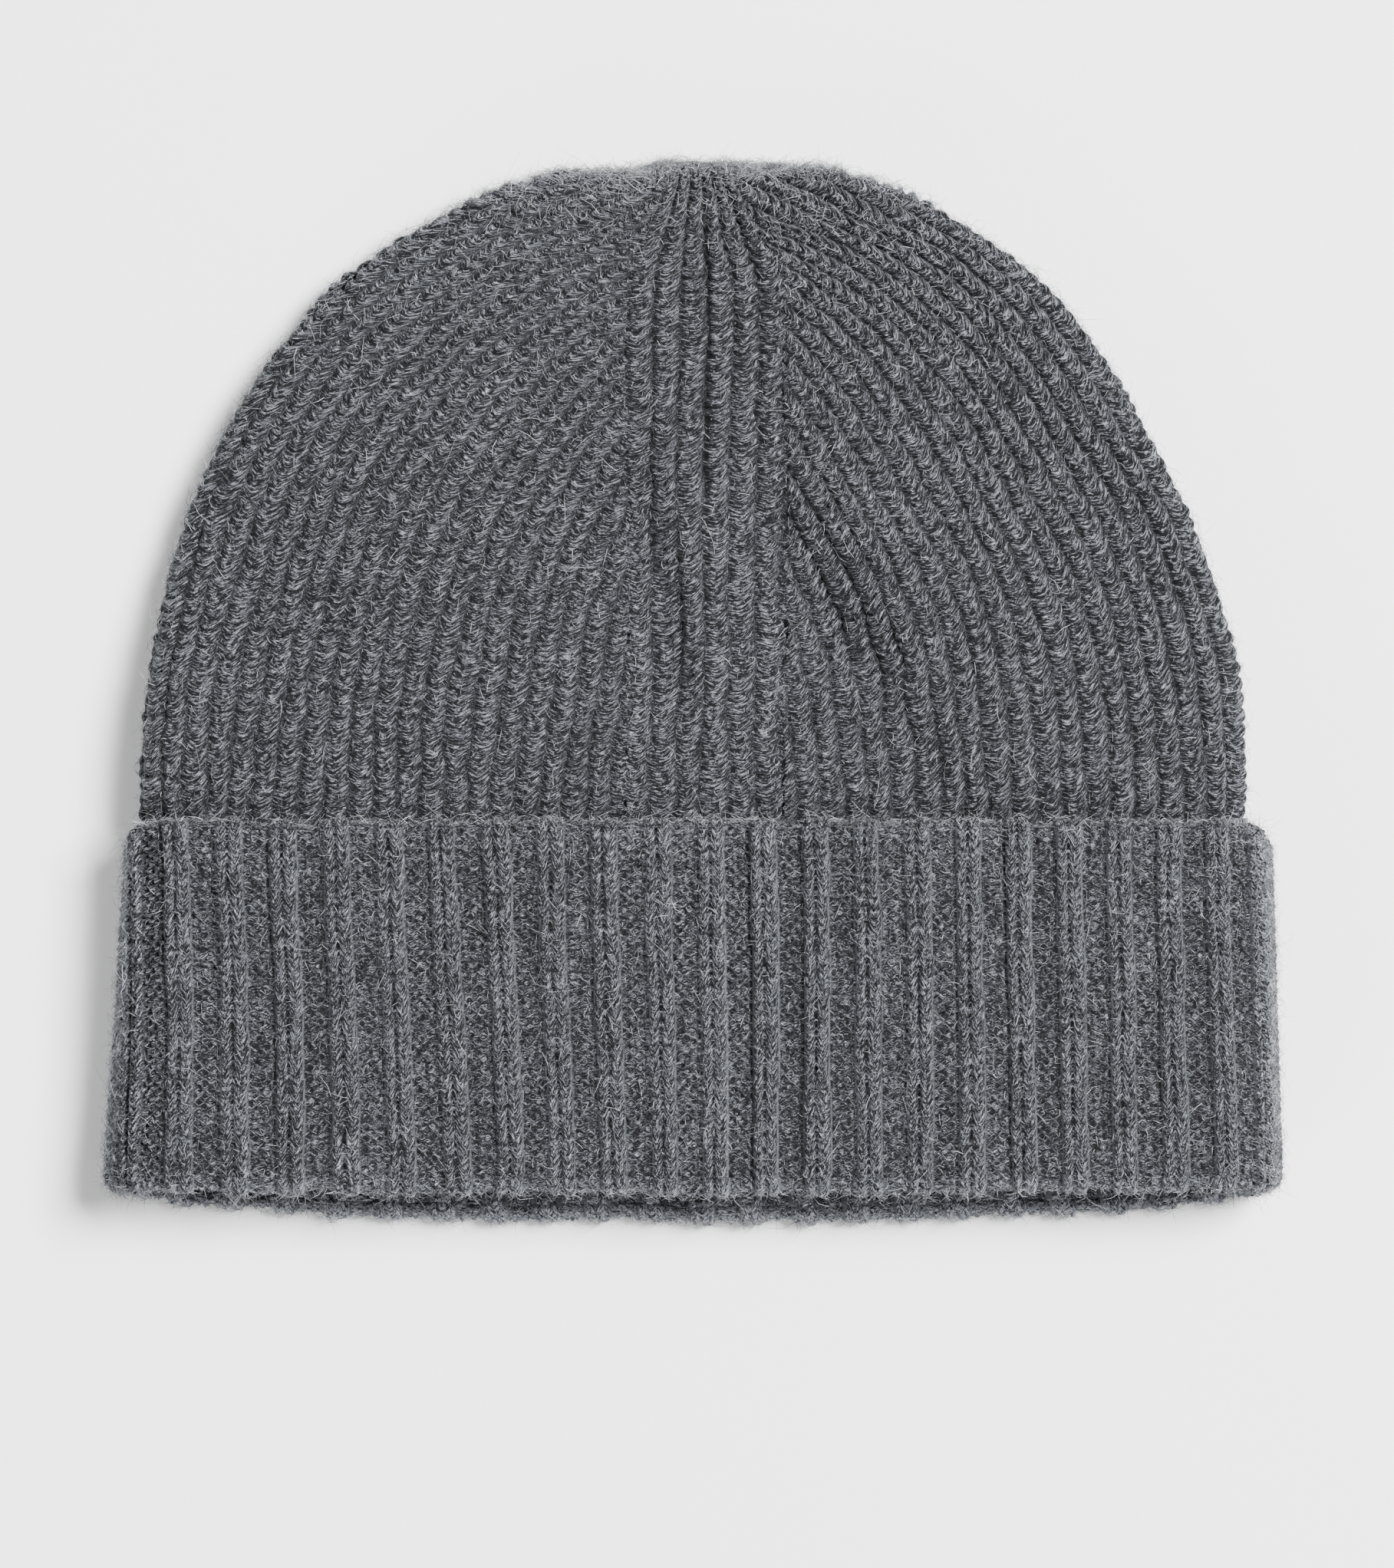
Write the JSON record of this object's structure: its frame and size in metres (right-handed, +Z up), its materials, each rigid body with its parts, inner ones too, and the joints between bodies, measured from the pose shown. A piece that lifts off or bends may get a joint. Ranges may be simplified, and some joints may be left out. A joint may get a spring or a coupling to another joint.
{
  "type": "knit beanie",
  "caption": "Chunky rib-knit beanie lying flat, with a deep turned-up ribbed cuff, fashioned crown with a centre column, seams and a blank label inside.",
  "frame": {"origin": "middle of the underside of the hat as it lies flat on its back, on the surface it rests on", "axes": "+X towards the wearer's left, +Y from the mouth towards the crown's tip, +Z up out of the hat's front"},
  "size_m": [0.23, 0.2081, 0.0249],
  "materials": {
    "knit_body": "heather grey wool-blend yarn in half-cardigan rib, matt and slightly hairy",
    "knit_cuff": "heather grey wool-blend yarn in 2x2 rib, matt and slightly hairy",
    "seam_yarn": "the same yarn, linked and sewn",
    "label_tape": "blank woven polyester satin tape",
    "label_thread": "polyester sewing thread"
  },
  "bodies": {
    "root": {"cuff_outer_band": "knit_cuff", "cuff_back_seam": "seam_yarn", "cuff_inner_band": "knit_cuff", "cuff_inner_seam": "seam_yarn", "cast_on_edge": "knit_cuff", "cuff_fold": "knit_cuff", "left_side_panel": "knit_body", "right_side_panel": "knit_body", "front_column": "knit_body", "front_dart_seam": "seam_yarn", "back_column_left": "knit_body", "back_column_right": "knit_body", "back_seam": "seam_yarn", "crown_gather_yarn": "seam_yarn", "crown_knot": "seam_yarn", "yarn_tail": "seam_yarn", "care_label": "label_tape", "label_stitches": "label_thread"}
  },
  "joints": []
}
